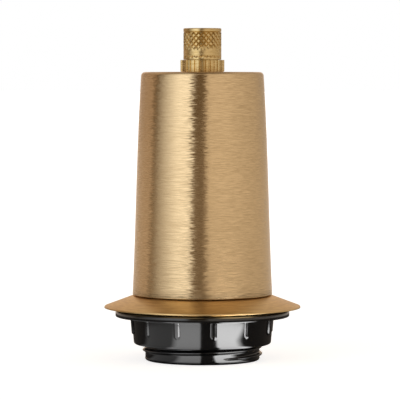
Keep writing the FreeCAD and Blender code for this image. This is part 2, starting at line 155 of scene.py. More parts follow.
def cut_rows(bm, rows):
    """Cut upright stretches into rows, in bands of inner and outer radius, foot, top and row height."""
    for inner, outer, low, high, row in rows:
        for edge in bm.edges[:]:
            ends = [vert.co for vert in edge.verts]
            rise = abs(ends[0].z - ends[1].z)
            in_band = all(inner * MM - SLACK <= end.x <= outer * MM + SLACK
                          and low * MM - SLACK <= end.z <= high * MM + SLACK for end in ends)
            if in_band and rise > row * MM:
                bmesh.ops.subdivide_edges(bm, edges=[edge], cuts=round(rise / (row * MM)) - 1)


# %% [markdown]
# The wire is then spun. The spin merges its last step with its first, and the doubles that are left
# on the axis or at the seam are merged after it, before the normals are turned outwards.
#
# A pattern such as a thread or a set of flutes is one rule that says how far out the surface is at
# an angle and a height, so a second function moves every vertex by such a rule.

# %% Spin the wire and move its surface
WELD = 1e-7


def lathe(corners, steps, rows=()):
    """Spin a profile a full turn, in a number of steps, into a closed shell."""
    bm = bmesh.new()
    profile_wire(bm, corners)
    cut_rows(bm, rows)
    bmesh.ops.spin(bm, geom=bm.verts[:] + bm.edges[:], cent=(0, 0, 0), axis=(0, 0, 1), angle=TURN,
                   steps=steps, use_merge=True)
    bmesh.ops.remove_doubles(bm, verts=bm.verts[:], dist=WELD)
    bmesh.ops.recalc_face_normals(bm, faces=bm.faces[:])
    return bm


def reshape(bm, radius_at):
    """Move every vertex in or out: radius_at takes its radius, angle and height, in millimetres."""
    for vert in bm.verts:
        radius = math.hypot(vert.co.x, vert.co.y)
        if radius > SLACK:
            angle = math.atan2(vert.co.y, vert.co.x)
            factor = radius_at(radius / MM, angle, vert.co.z / MM) / (radius / MM)
            vert.co.x *= factor
            vert.co.y *= factor


def limited(value):
    """A number kept between 0 and 1."""
    return min(max(value, 0.0), 1.0)


# %% [markdown]
# ## From a mesh to a piece
#
# A piece is finished the same way each time: its mesh becomes an object at the origin, its faces are
# shaded smoothly except across real edges, it rides on the body that carries it, and the solid it stands
# for is hidden. It is also noted with its slot, the finish it is made in.

# %% Finish a piece
new_pieces = []


def finish_piece(bm, name, body, slot, replaces, edge_angle=35):
    mesh = bpy.data.meshes.new(name)
    bm.to_mesh(mesh)
    bm.free()
    mesh.shade_smooth()
    mesh.set_sharp_from_angle(angle=math.radians(edge_angle))
    piece = bpy.data.objects.new(name, mesh)
    bpy.context.scene.collection.objects.link(piece)
    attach(piece, body)
    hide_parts(replaces)
    new_pieces.append((piece, slot))
    triangles = sum(len(face.vertices) - 2 for face in mesh.polygons)
    print(f"{name}: {triangles} triangles, top at {max(v.co.z for v in mesh.vertices) / MM:.2f} mm")
    return piece


# %% [markdown]
# ## The brass cup
#
# The cup is spun from sheet over a former: closed at the top, with a tight shoulder, and a wall
# that leans out more near both ends than at its waist. One smooth curve with a handle at each end
# draws that wall. The inside follows the outside at the thickness of the sheet, so the rim shows a
# real edge when the flange comes down.

# %% Model the cup
CUP_SHEET = 0.9
TUBE_HOLE = 5.08
SHOULDER_RADIUS = 20.3
SHOULDER_ROUND = 1.2
INNER_SHOULDER_ROUND = 0.5
CUP_RIM_ROUND = 0.2
SHOULDER_LEAN = math.radians(3.6)
RIM_LEAN = math.radians(2.8)
WALL_STUB = 2.0
WALL_POINTS = 24


def cup_wall(offset):
    """Points down the cup's wall, from below the shoulder to the rim, moved in by an offset."""
    top = cup_top - WALL_STUB
    handle = (top - cup_rim) / 3
    high = SHOULDER_RADIUS + WALL_STUB * math.tan(SHOULDER_LEAN) - offset
    low = cup_rim_radius - offset
    high_handle = (high + handle * math.tan(SHOULDER_LEAN), top - handle, 0)
    low_handle = (low - handle * math.tan(RIM_LEAN), cup_rim + handle, 0)
    curve = interpolate_bezier((high, top, 0), high_handle, low_handle, (low, cup_rim, 0), WALL_POINTS)
    return [(point[0], point[1]) for point in curve]


outer_wall = cup_wall(0)
inner_wall = cup_wall(CUP_SHEET)
cup_profile = [(TUBE_HOLE, cup_top), (SHOULDER_RADIUS, cup_top, SHOULDER_ROUND)]
cup_profile += outer_wall[:-1]
cup_profile += [(*outer_wall[-1], CUP_RIM_ROUND), (*inner_wall[-1], CUP_RIM_ROUND)]
cup_profile += inner_wall[-2::-1]
cup_profile += [(SHOULDER_RADIUS - CUP_SHEET, cup_top - CUP_SHEET, INNER_SHOULDER_ROUND),
                (TUBE_HOLE, cup_top - CUP_SHEET)]
finish_piece(lathe(cup_profile, steps=256), "brass_cup", "holder", "brushed_brass", replaces="cup")

# %% [markdown]
# ## The brass flange
#
# Under the cup lies a low cone of brass, pressed from sheet, with its edge rolled under and a short
# collar plunged down round the thread. The rolled edge catches the light as a thin bright line. Its
# upper corner gets a generous round. The lower one stays nearly sharp, because a wide round there
# would mirror the bright ground as a second line.

# %% Model the flange
FLANGE_SHEET = 0.7
FLANGE_SLOPE = math.radians(20.5)
ROLL = 0.45
TIP_HEIGHT = 17.7
BORE_GAP = 0.2
ROLL_TOP_ROUND = 0.25
ROLL_LOW_ROUND = 0.03
NECK_ROUND = 1.0


def cone_height(radius):
    """Height of the cone's upper face at a radius: it leaves the roll as a tangent."""
    touch_radius = flange_radius - ROLL + ROLL * math.sin(FLANGE_SLOPE)
    return TIP_HEIGHT + ROLL * math.cos(FLANGE_SLOPE) + (touch_radius - radius) * math.tan(FLANGE_SLOPE)


flange_bore = thread_crest + BORE_GAP
plunged_outside = flange_bore + FLANGE_SHEET
under_drop = FLANGE_SHEET / math.cos(FLANGE_SLOPE)
roll_inside = flange_radius - 2 * ROLL
roll_foot = TIP_HEIGHT - ROLL / 3
flange_profile = [
    (flange_bore, flange_foot),
    (plunged_outside, flange_foot, 0.15),
    (plunged_outside, cone_height(plunged_outside) - under_drop, 0.4),
    (roll_inside, cone_height(roll_inside) - under_drop, 0.1),
    (roll_inside, roll_foot, 0.15),
    (flange_radius, roll_foot, ROLL_LOW_ROUND),
    (flange_radius, cone_height(flange_radius), ROLL_TOP_ROUND),
    (flange_bore, cone_height(flange_bore), NECK_ROUND),
]
finish_piece(lathe(flange_profile, steps=256), "brass_flange", "shade_flange_body", "satin_brass",
             replaces="shade_flange")

# %% [markdown]
# ## The shade thread
#
# The shade ring screws on a coarse right-hand thread, 40 mm over its round crests and 2.5 mm a
# turn. The photograph shows its last turn fade in just right of the front. A helix is simply a
# radius that depends on the height and on the angle together, so the skirt is turned with short
# rows and its surface is then moved out along that helix. The ring's bore is moved by the same rule
# plus a little clearance. That way the two threads are in mesh at rest, and they stay in mesh as
# the ring turns down.

# %% Say where the thread's crest is
PITCH = 2.5
THREAD_DEPTH = 0.95
THREAD_WIDTH = 0.68
START_WIDTH = 0.35
CREST_FULLNESS = 0.7
FIRST_CREST = 2.2
LAST_CREST = 28.5
LEAD_ANGLE = math.radians(-67.0)
FADE = 0.16
thread_root = thread_crest - THREAD_DEPTH


def turns_from_start(angle, height):
    """Turns along the thread at a place, and how far the place is from the crest, in pitches."""
    phase = (height - FIRST_CREST) / PITCH - angle / TURN
    nearest = round(phase)
    return nearest + (angle - LEAD_ANGLE) / TURN, phase - nearest


def crest_shape(aside, reach):
    """A round crest: 1 in its middle, 0 from its reach on."""
    if abs(aside) >= reach:
        return 0.0
    return (0.5 + 0.5 * math.cos(math.pi * aside / reach)) ** CREST_FULLNESS


def thread_rise(angle, height):
    """How far the thread stands out at a place, from 0 at its root to 1 on its crest."""
    turns, aside = turns_from_start(angle, height)
    fade_in = limited(turns / FADE)
    fade_out = limited((LAST_CREST - height) / PITCH)
    reach = THREAD_WIDTH / 2 * (START_WIDTH + (1 - START_WIDTH) * fade_in)
    return crest_shape(aside, reach) * math.sqrt(fade_in * fade_out)


print(f"thread: crest radius {thread_crest:.2f} mm, root radius {thread_root:.2f} mm")

# %% [markdown]
# ## The black skirt
#
# The skirt is the moulded sleeve round the lamp's cap. Seen from below it has a wide mouth, a cone
# down to a ledge, and the metal shell behind that ledge. Its rim is rounded outside, because that
# is what the holder stands on. Above that round, a narrow land runs up to the root of the thread.

# %% Model the skirt
SKIRT_WALL = 2.1
SKIRT_ROUND = 0.85
LAND_STEP = 0.1
LAND_TOP = 0.9
THREAD_FOOT = 0.95
THREAD_TOP = 30.6
CONE_TOP = 7.5
LEDGE_RADIUS = 14.3
LEDGE_FOOT = 8.6
LEDGE_TOP = 10.0
SHELL_SPACE = 16.3
SHELL_SPACE_TOP = 26.0
UPPER_STEP = 0.3
SKIRT_ROWS = 18
ON_SURFACE = 0.02
land = thread_root + LAND_STEP
mouth = land - SKIRT_WALL
upper_bore = mouth + UPPER_STEP
skirt_profile = [
    (mouth, 0, 0.5),
    (land, 0, SKIRT_ROUND),
    (land, LAND_TOP),
    (thread_root, THREAD_FOOT),
    (thread_root, THREAD_TOP),
    (land, THREAD_TOP + LAND_STEP),
    (land, skirt_top, 0.3),
    (upper_bore, skirt_top),
    (upper_bore, SHELL_SPACE_TOP),
    (SHELL_SPACE, SHELL_SPACE_TOP),
    (SHELL_SPACE, LEDGE_TOP, 0.5),
    (LEDGE_RADIUS, LEDGE_TOP, 0.3),
    (LEDGE_RADIUS, LEDGE_FOOT, 0.4),
    (mouth, CONE_TOP, 0.6),
]
skirt_mesh = lathe(skirt_profile, steps=180,
                   rows=[(thread_root, thread_root, THREAD_FOOT, THREAD_TOP, PITCH / SKIRT_ROWS)])


def skirt_surface(radius, angle, height):
    """The skirt's surface: the thread stands out from its root, and the rest stays."""
    on_thread = abs(radius - thread_root) < ON_SURFACE and THREAD_FOOT < height < THREAD_TOP
    return radius + THREAD_DEPTH * thread_rise(angle, height) if on_thread else radius


reshape(skirt_mesh, skirt_surface)
finish_piece(skirt_mesh, "threaded_skirt", "holder", "black_thermoset", replaces="skirt", edge_angle=50)

# %% [markdown]
# ## The ribbed shade ring
#
# The ring is moulded in the same black plastic: a wide thin rim that carries the shade, a drum with
# twelve slim ribs to grip it by, and the thread inside. A rib is a raised bar with a round lower
# end, so its height comes from the distance to a short upright line. That gives both the straight
# sides and the round end from one rule. The drum narrows a little towards its foot, as a moulded
# piece must to leave its mould.

# %% Turn the shade ring
DRUM_TOP_RADIUS = 23.6
DRUM_FOOT_RADIUS = 22.85
RIM_ROOT = 14.25
RIM_EDGE = 14.65
ROOT_FILLET = 0.25
FOOT_ROUND = 0.8
RIM_TOP_ROUND = 1.0
RIM_LOW_ROUND = 0.28
BORE_ROUND = 0.3
BORE_STEP = 0.1
BORE_ROWS = 9
DRUM_ROW = 0.25
BAND_MARGIN = 0.1
ring_bore = thread_crest + BORE_STEP
drum_low = ring_foot + FOOT_ROUND - 0.3
ring_profile = [
    (ring_bore, ring_foot, BORE_ROUND),
    (DRUM_FOOT_RADIUS, ring_foot, FOOT_ROUND),
    (DRUM_TOP_RADIUS, RIM_ROOT, ROOT_FILLET),
    (ring_radius, RIM_EDGE, RIM_LOW_ROUND),
    (ring_radius, ring_top, RIM_TOP_ROUND),
    (ring_bore, ring_top, BORE_ROUND),
]
drum_rows = (DRUM_FOOT_RADIUS - BAND_MARGIN, DRUM_TOP_RADIUS + BAND_MARGIN, drum_low, RIM_ROOT, DRUM_ROW)
bore_rows = (ring_bore, ring_bore, ring_foot, ring_top, PITCH / BORE_ROWS)
ring_mesh = lathe(ring_profile, steps=540, rows=[drum_rows, bore_rows])
print(f"shade ring: {len(ring_mesh.faces)} faces before its ribs and thread are raised")

# %% [markdown]
# The ribs and the thread in the bore are raised on that turned ring in one pass. A place on the bore
# follows the skirt's thread at a small clearance, and a place on the drum follows the nearest rib.

# %% Raise the ribs and the thread
RIB_COUNT = 12
RIB_HALF_WIDTH = 0.92
RIB_FLANK = 0.27
RIB_STAND = 0.58
RIB_END = 9.7
RIB_FIRST = math.radians(9.3 - 90)
RING_GAP = 0.12
RING_THREAD_GAP = 0.05


def rib_rise(radius, angle, height):
    """How far the nearest rib stands out of the drum at a place, in millimetres."""
    step = TURN / RIB_COUNT
    aside = (angle - RIB_FIRST + step / 2) % step - step / 2
    distance = math.hypot(aside * radius, max(RIB_END - height, 0))
    rise = limited((RIB_HALF_WIDTH - distance) / RIB_FLANK)
    return RIB_STAND * rise * rise * (3 - 2 * rise)


def bore_thread_rise(angle, height):
    """The thread's rise as the ring's bore has it: a little wider, and with no fading."""
    return crest_shape(turns_from_start(angle, height)[1], THREAD_WIDTH / 2 + RING_THREAD_GAP)


def ring_surface(radius, angle, height):
    """The ring's surface: a thread in its bore, ribs on its drum, and a plain rim."""
    if abs(radius - ring_bore) < ON_SURFACE:
        return thread_root + RING_GAP + THREAD_DEPTH * bore_thread_rise(angle, height)
    on_drum = DRUM_FOOT_RADIUS - 1 < radius < DRUM_TOP_RADIUS + 0.3 and height < RIM_ROOT + 0.2
    return radius + rib_rise(radius, angle, height) if on_drum else radius


reshape(ring_mesh, ring_surface)
finish_piece(ring_mesh, "ribbed_ring", "shade_ring_body", "black_thermoset", replaces="shade_ring",
             edge_angle=50)

# %% [markdown]
# ## The fluted collar of the cord grip
#
# The lower part of the cord grip is a short drum with upright flutes, and above it a threaded
# spigot that shows only when the cap is backed off. A flute has a flat floor and two slanting
# flanks. There are twelve columns of the mesh to a flute, so its four corners fall on columns and
# stay crisp: each flank then mirrors one narrow part of the studio, as a clean upright stripe.

# %% Model the fluted collar
FLUTES = 28
FLUTE_DEPTH = 0.44
FLUTE_STEPS = 12
RIDGE_STEPS = 3
FLANK_STEPS = 2
FOOT_STEP_RADIUS = 7.0
FOOT_STEP = 0.15
COLLAR_TOP = 99.9
SPIGOT = 5.4
SPIGOT_MOUTH = 4.5
GRIP_PITCH = 1.0
GRIP_THREAD_DEPTH = 0.35
GRIP_THREAD_END = 0.3
GRIP_ROWS = 8
THROAT = 3.75
THROAT_FOOT = 99.5
THROAT_TOP = 101.4
TUBE_SEAT = 5.0
grip_profile = [
    (TUBE_SEAT, collar_foot),
    (FOOT_STEP_RADIUS, collar_foot),
    (FOOT_STEP_RADIUS, collar_foot + FOOT_STEP),
    (collar_radius, collar_foot + FOOT_STEP + 0.03, 0.05),
    (collar_radius, COLLAR_TOP, 0.15),
    (SPIGOT, COLLAR_TOP),
    (SPIGOT, spigot_top, 0.3),
    (SPIGOT_MOUTH, spigot_top, 0.1),
    (THROAT, THROAT_TOP),
    (THROAT, THROAT_FOOT),
    (TUBE_SEAT, THROAT_FOOT),
]
grip_mesh = lathe(grip_profile, steps=FLUTES * FLUTE_STEPS,
                  rows=[(SPIGOT, SPIGOT, COLLAR_TOP, spigot_top, GRIP_PITCH / GRIP_ROWS)])


def grip_surface(radius, angle, height):
    """The grip's surface: flutes on the collar's outer face, a thread on the spigot."""
    if radius > collar_radius - 0.3 and height < COLLAR_TOP + 0.01:
        steps_aside = abs((angle * FLUTES / TURN + 0.5) % 1 - 0.5) * FLUTE_STEPS
        return radius - FLUTE_DEPTH * limited((steps_aside - RIDGE_STEPS) / FLANK_STEPS)
    threaded = COLLAR_TOP + GRIP_THREAD_END < height < spigot_top - GRIP_THREAD_END
    if abs(radius - SPIGOT) < ON_SURFACE and threaded:
        phase = height / GRIP_PITCH - angle / TURN
        return radius - GRIP_THREAD_DEPTH * abs(2 * (phase - round(phase)))
    return radius


reshape(grip_mesh, grip_surface)
finish_piece(grip_mesh, "fluted_collar", "holder", "turned_brass", replaces="cord_grip_body",
             edge_angle=20)

# %% [markdown]
# ## The knurled cap
#
# A diamond knurl is pressed by two wheels whose ridges cross. It leaves rows of small pyramids with
# flat tops. The cap is turned with four columns and four rows to a diamond, and each of those small
# faces is poked, which gives it a middle and four triangles. The grooves then run exactly along
# edges of the mesh, so a few thousand triangles are enough for crisp diamonds. The pattern is worn
# softer near the foot, as it is in the photograph.

# %% Turn the cap and poke its knurled faces
DIAMONDS = 23
DIAMOND_HEIGHT = 1.86
DIAMOND_STEPS = 4
KNURL_FOOT = 100.5
KNURL_ROWS = 4.5
CAP_THREAD = 5.5
CAP_THREAD_TOP = 106.5
CAP_HOLE = 3.7
CAP_HOLE_FOOT = 108.3
GROOVE = 109.15
GROOVE_HALF = 0.2
KNURL_BAND = 0.1
UPRIGHT = 0.2
knurl_top = KNURL_FOOT + KNURL_ROWS * DIAMOND_HEIGHT
cap_profile = [
    (CAP_THREAD, cap_foot, 0.15),
    (cap_radius, cap_foot, 0.08),
    (cap_radius, KNURL_FOOT),
    (cap_radius, knurl_top),
    (cap_radius, GROOVE - GROOVE_HALF),
    (cap_radius - GROOVE_HALF, GROOVE),
    (cap_radius, GROOVE + GROOVE_HALF),
    (cap_radius, cap_top, 0.3),
    (CAP_HOLE, cap_top, 0.4),
    (CAP_HOLE, CAP_HOLE_FOOT),
    (CAP_THREAD, CAP_THREAD_TOP),
]
cap_mesh = lathe(cap_profile, steps=DIAMONDS * DIAMOND_STEPS,
                 rows=[(cap_radius, cap_radius, KNURL_FOOT, knurl_top, DIAMOND_HEIGHT / DIAMOND_STEPS)])


def on_knurl(face):
    """Whether a face stands upright on the cap's outside, between the knurl's foot and its top."""
    centre = face.calc_center_median()
    outside = math.hypot(centre.x, centre.y) > (cap_radius - KNURL_BAND) * MM
    return abs(face.normal.z) < UPRIGHT and outside and KNURL_FOOT * MM < centre.z < knurl_top * MM


knurled_faces = [face for face in cap_mesh.faces if on_knurl(face)]
print(f"knurl: {len(knurled_faces)} faces poked")
bmesh.ops.poke(cap_mesh, faces=knurled_faces)

# %% [markdown]
# The grooves are then sunk. Two sets of slanting lines cross on the cap, and a vertex sinks the more
# the nearer it is to one of them. How deep a groove is there says how worn the knurl is.

# %% Sink the grooves
KNURL_DEPTH = 0.3
WORN_HEIGHT = 2.2
WEAR_FADE = 2.0
WORN_CRISPNESS = 0.05
FIRST_ROW = 0.6
FIRST_ROW_CRISPNESS = 0.5


def crispness(above_foot):
    """Share of the full depth at a height above the knurl's foot: a clear first row, then worn ones."""
    if above_foot <= FIRST_ROW:
        return FIRST_ROW_CRISPNESS
    return min(max((above_foot - WORN_HEIGHT) / WEAR_FADE, WORN_CRISPNESS), 1.0)


def knurl_surface(radius, angle, height):
    """The cap's surface: two sets of slanting grooves, sunk where they are nearest."""
    if radius < cap_radius - KNURL_BAND or not KNURL_FOOT - 0.01 <= height <= knurl_top + 0.01:
        return radius
    across = angle * DIAMONDS / TURN
    along = (height - KNURL_FOOT) / DIAMOND_HEIGHT
    rising_groove = abs((across + along + 0.5) % 1 - 0.5)
    falling_groove = abs((across - along + 0.5) % 1 - 0.5)
    nearness = 1 - DIAMOND_STEPS * min(rising_groove, falling_groove)
    return cap_radius - KNURL_DEPTH * crispness(height - KNURL_FOOT) * max(nearness, 0.0)


reshape(cap_mesh, knurl_surface)
finish_piece(cap_mesh, "knurled_cap", "grip_cap_body", "turned_brass", replaces="cord_grip_cap",
             edge_angle=22)

# %% [markdown]
# ## The rolled screw shell
#
# The lamp's thread is rolled into thin sheet, so it shows on both sides of it: a round wave of
# 3.63 mm to the turn. The shell is turned as a thin wall cut in rows, and both of its skins are
# moved by the same helical wave. Seen from below, this is what tells an E27 holder from a plain
# tube.

# %% Model the screw shell
LAMP_PITCH = 3.629
LAMP_THREAD_DEPTH = 0.55
SHELL_BORE = 13.3
SHELL_SHEET = 0.35
SHELL_STEP = 21.8
SHELL_STEP_IN = 0.7
SHELL_WINDOW = 6.5
SHELL_ROW = 0.3
PLAIN_FOOT = 0.3
PLAIN_TOP = 0.2
WAVE_FADE = 1.2
shell_outer = SHELL_BORE + SHELL_SHEET
shell_profile = [
    (SHELL_BORE, shell_foot, 0.1),
    (shell_lip_radius, shell_foot, 0.1),
    (shell_lip_radius, shell_foot + SHELL_SHEET, 0.1),
    (shell_outer, shell_foot + SHELL_SHEET),
    (shell_outer, SHELL_STEP + SHELL_SHEET, 0.3),
    (shell_outer - SHELL_STEP_IN, SHELL_STEP + SHELL_SHEET),
    (shell_outer - SHELL_STEP_IN, shell_top, 0.3),
    (SHELL_WINDOW, shell_top),
    (SHELL_WINDOW, shell_top - SHELL_SHEET),
    (SHELL_BORE - SHELL_STEP_IN, shell_top - SHELL_SHEET, 0.3),
    (SHELL_BORE - SHELL_STEP_IN, SHELL_STEP),
    (SHELL_BORE, SHELL_STEP, 0.3),
]
shell_mesh = lathe(shell_profile, steps=144,
                   rows=[(SHELL_BORE, shell_outer, shell_foot, SHELL_STEP + SHELL_SHEET, SHELL_ROW)])


def shell_surface(radius, angle, height):
    """The shell's surface: both skins follow one wave, which fades out at the plain ends."""
    if not SHELL_BORE - ON_SURFACE < radius < shell_outer + ON_SURFACE:
        return radius
    phase = height / LAMP_PITCH - angle / TURN
    wave = 0.5 - 0.5 * math.cos(TURN * phase)
    fade = min(height - shell_foot - PLAIN_FOOT, SHELL_STEP - PLAIN_TOP - height) / WAVE_FADE
    return radius - LAMP_THREAD_DEPTH * wave * limited(fade)


reshape(shell_mesh, shell_surface)
finish_piece(shell_mesh, "rolled_shell", "holder", "nickelled_brass", replaces="screw_shell",
             edge_angle=50)

# %% [markdown]
# ## The spring behind the centre contact
#
# A small coil spring presses the centre contact against the lamp's tip. Its solid has the right coils
# already, so the piece starts as a copy of it, with its loose triangles merged, and gets a mesh of its
# own. What a solid can't show is the coils closing up as a lamp pushes the contact in, and this piece
# doesn't show it either.

# %% Copy the spring
spring_mesh = bmesh.new()
spring_mesh.from_mesh(frame["nodes"]["contact_spring"].data)
bmesh.ops.remove_doubles(spring_mesh, verts=spring_mesh.verts, dist=SLACK)
bmesh.ops.recalc_face_normals(spring_mesh, faces=spring_mesh.faces)
spring = finish_piece(spring_mesh, "coil_spring", "holder", "zinc_steel", replaces="contact_spring")
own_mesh(spring)

# %% [markdown]
# ## Shader maths in plain Python
#
# A material's pattern is arithmetic on fields: a noise times a number plus another noise. Written
# with nodes and links, such a sum is hard to read, so a small class wraps a socket and lets Python's
# own operators add the Math nodes. Anything that isn't plain arithmetic goes through one method
# that adds a node of any type.

# %% The socket wrapper
class Field:
    """A value that varies over a surface: one output socket of a material's node tree."""

    def __init__(self, tree, socket):
        self.tree = tree
        self.socket = socket

    def node(self, kind, settings=None, output=0, **inputs):
        """Add a node, set it up, link or fill its inputs by name, and return one of its outputs."""
        made = self.tree.nodes.new(kind)
        for key, value in (settings or {}).items():
            setattr(made, key, value)
        for key, value in inputs.items():
            numbered = key[0] == "i" and key[1:].isdigit()
            socket = made.inputs[int(key[1:]) if numbered else key]
            if isinstance(value, Field):
                self.tree.links.new(value.socket, socket)
            else:
                socket.default_value = value
        return Field(self.tree, made.outputs[output])

    def math(self, operation, other=0.0):
        return self.node("ShaderNodeMath", {"operation": operation}, i0=self, i1=other)

    def vector(self, operation, other=(0, 0, 0)):
        return self.node("ShaderNodeVectorMath", {"operation": operation}, i0=self, i1=other)

    def times(self, amount):
        """A vector scaled by a value."""
        return self.node("ShaderNodeVectorMath", {"operation": "SCALE"}, Vector=self, Scale=amount)

    def __add__(self, other):
        return self.math("ADD", other)

    def __radd__(self, other):
        return self.math("ADD", other)

    def __sub__(self, other):
        return self.math("SUBTRACT", other)

    def __rsub__(self, other):
        return (self * -1.0) + other

    def __mul__(self, other):
        return self.math("MULTIPLY", other)

    def __rmul__(self, other):
        return self.math("MULTIPLY", other)

    def clamped(self):
        return self.math("MAXIMUM", 0.0).math("MINIMUM", 1.0)

    def mix(self, dark, light):
        """A colour between two, led by this field. Either may be a field itself."""
        dark, light = (tone if isinstance(tone, Field) else (*tone, 1.0) for tone in (dark, light))
        return self.node("ShaderNodeMix", {"data_type": "RGBA"}, 2, i0=self, i6=dark, i7=light)

    def bump(self, strength, distance):
        return self.node("ShaderNodeBump", Height=self, Strength=strength, Distance=distance)


# %% [markdown]
# A few helpers save repeating the same nodes in every finish: a field that Blender gives ready made,
# a new material, the links into its shader, noise, and a ramp from 0 to 1.

# %% Helpers for materials
def given(tree, kind, output):
    """A field that Blender gives ready made: an output of a node without inputs."""
    return Field(tree, tree.nodes.new(kind).outputs[output])


def surface(name, **uniform):
    """A new material with its uniform values set, its shader node and its Object coordinates."""
    material = bpy.data.materials.new(name)
    material.use_nodes = True
    tree = material.node_tree
    shader = tree.nodes["Principled BSDF"]
    for key, value in uniform.items():
        shader.inputs[key.replace("_", " ")].default_value = value
    return material, shader, given(tree, "ShaderNodeTexCoord", "Object")


def feed(shader, **fields):
    """Link fields to the sockets of the shader that may vary over a surface."""
    for key, field in fields.items():
        field.tree.links.new(field.socket, shader.inputs[key.replace("_", " ")])


def noise(place, scale, detail=2.0, stretch=(1, 1, 1)):
    """Noise, from 0 to 1, in cycles per metre, drawn out along the axes with a small factor."""
    scaled = place.node("ShaderNodeMapping", Vector=place, Scale=stretch)
    return scaled.node("ShaderNodeTexNoise", {"noise_dimensions": "3D"}, Vector=scaled, Scale=scale,
                       Detail=detail)


def around(middle, field, spread):
    """Values of a given spread round a middle, led by a field that runs from 0 to 1."""
    return field * spread + (middle - spread / 2)


def ramp(field, start, width):
    """0 up to a start and 1 from a width beyond it. A negative width runs the other way."""
    return ((field - start) * (1 / width)).clamped()


# %% [markdown]
# ## Brushed brass
#
# The cup was brushed as it turned on a lathe, so its scratches run round it: short hair lines a few
# millimetres long and a third of a millimetre apart. Each one tilts the surface a little, up or down
# and sideways. So the edge of every reflection frays into level hairs, and from a step away a lamp
# becomes an upright streak. The hair lines are noise squeezed along the axis. They lead the colour,
# the roughness and the tilt, and anisotropic roughness draws the streaks out. The flange and the
# turned pieces are brass too, with finer lines that tilt it less.

# %% Make the brass finishes
UP = (0.0, 0.0, 1.0)
HAIR_CONTRAST = 2.6
HAIR_ROUGHNESS = 0.12
CLOUD_SCALE = 60.0
CLOUD_CONTRAST = 0.3
CLOUD_ROUGHNESS = 0.04
SECOND_SCALE = 0.8
SECOND_SQUEEZE = 0.6
UPWARD_SHARE = 0.6


def hair_tilt(place, hairs, second, sway):
    """The normal, tilted sideways by one set of hair lines and up or down by another."""
    normal = given(place.tree, "ShaderNodeNewGeometry", "Normal")
    sideways = normal.vector("CROSS_PRODUCT", UP)
    upward = sideways.vector("CROSS_PRODUCT", normal)
    tilted = normal.vector("ADD", sideways.times((hairs - 0.5) * sway))
    tilted = tilted.vector("ADD", upward.times((second - 0.5) * (sway * UPWARD_SHARE)))
    return tilted.vector("NORMALIZE")


def brass(name, dark, light, roughness, lines, length, sway, anisotropy):
    """Brass with hair lines: how many there are to a metre, how long they are and how far they tilt."""
    material, shader, place = surface(name, Metallic=1.0, Anisotropic=anisotropy,
                                      Anisotropic_Rotation=0.25)
    squeeze = 1 / (lines * length)
    second_squeeze = squeeze * SECOND_SQUEEZE
    hairs = noise(place, lines, stretch=(squeeze, squeeze, 1.0))
    second = noise(place, lines * SECOND_SCALE, stretch=(second_squeeze, second_squeeze, 1.0))
    cloud = noise(place, CLOUD_SCALE)
    tone = (hairs + second - 1.0) * HAIR_CONTRAST + 0.5 + (cloud - 0.5) * CLOUD_CONTRAST
    base_roughness = around(roughness - HAIR_ROUGHNESS / 2, cloud, CLOUD_ROUGHNESS)
    feed(shader, Base_Color=tone.clamped().mix(dark, light),
         Roughness=second * HAIR_ROUGHNESS + base_roughness,
         Normal=hair_tilt(place, hairs, second, sway))
    return material


cup_brass = brass("brushed_brass", dark=(0.60, 0.43, 0.235), light=(0.78, 0.57, 0.325),
                  roughness=0.20, lines=6000.0, length=2.2 * MM, sway=0.33, anisotropy=0.75)
flange_brass = brass("satin_brass", dark=(0.72, 0.49, 0.225), light=(0.87, 0.62, 0.29),
                     roughness=0.34, lines=4200.0, length=4.0 * MM, sway=0.10, anisotropy=0.3)
turned_brass = brass("turned_brass", dark=(0.56, 0.39, 0.16), light=(0.73, 0.54, 0.26),
                     roughness=0.28, lines=5000.0, length=2.0 * MM, sway=0.04, anisotropy=0.0)
print("brass finishes:", cup_brass.name, flange_brass.name, turned_brass.name)

# %% [markdown]
# ## Black thermoset, porcelain, nylon and plated metal
#
# The black plastic is hot-pressed and leaves the mould with a deep gloss. A light clear coat over a
# nearly black base gives it sharp reflections, and a very weak cloud in the roughness and a faint
# waviness keep it from looking like glass. The porcelain, the nylon and the zinc are only seen
# through the openings, yet they get their own character too.

# %% Make the other finishes
MOULDED_CLOUD = 160.0
MOULDED_GRAIN = 2500.0
MOULDED_SPREAD = 0.08
CLOUD_SHARE = 0.7
COAT_ROUGHNESS = 0.03
PLATED_CLOUD = 300.0
PLATED_GRAIN = 4000.0
PLATED_SPREAD = 0.2
PLATED_BUMP = 0.1
BUMP_HEIGHT = 0.01 * MM


def moulded(name, dark, light, roughness, coat, ior, wave):
    """A moulded or fired surface: a weak cloud in its colour and gloss, and a faint waviness."""
    material, shader, place = surface(name, IOR=ior, Coat_Roughness=COAT_ROUGHNESS, Coat_Weight=coat)
    cloud = noise(place, MOULDED_CLOUD, detail=3.0)
    grain = noise(place, MOULDED_GRAIN)
    feed(shader, Base_Color=cloud.mix(dark, light), Roughness=around(roughness, cloud, MOULDED_SPREAD),
         Normal=(cloud * CLOUD_SHARE + grain * (1 - CLOUD_SHARE)).bump(wave, BUMP_HEIGHT))
    return material


def plated(name, dark, light, roughness):
    """Plated metal: a cloudy gloss over a fine grain."""
    material, shader, place = surface(name, Metallic=1.0)
    cloud = noise(place, PLATED_CLOUD, detail=4.0)
    feed(shader, Base_Color=cloud.mix(dark, light), Roughness=around(roughness, cloud, PLATED_SPREAD),
         Normal=noise(place, PLATED_GRAIN).bump(PLATED_BUMP, BUMP_HEIGHT))
    return material


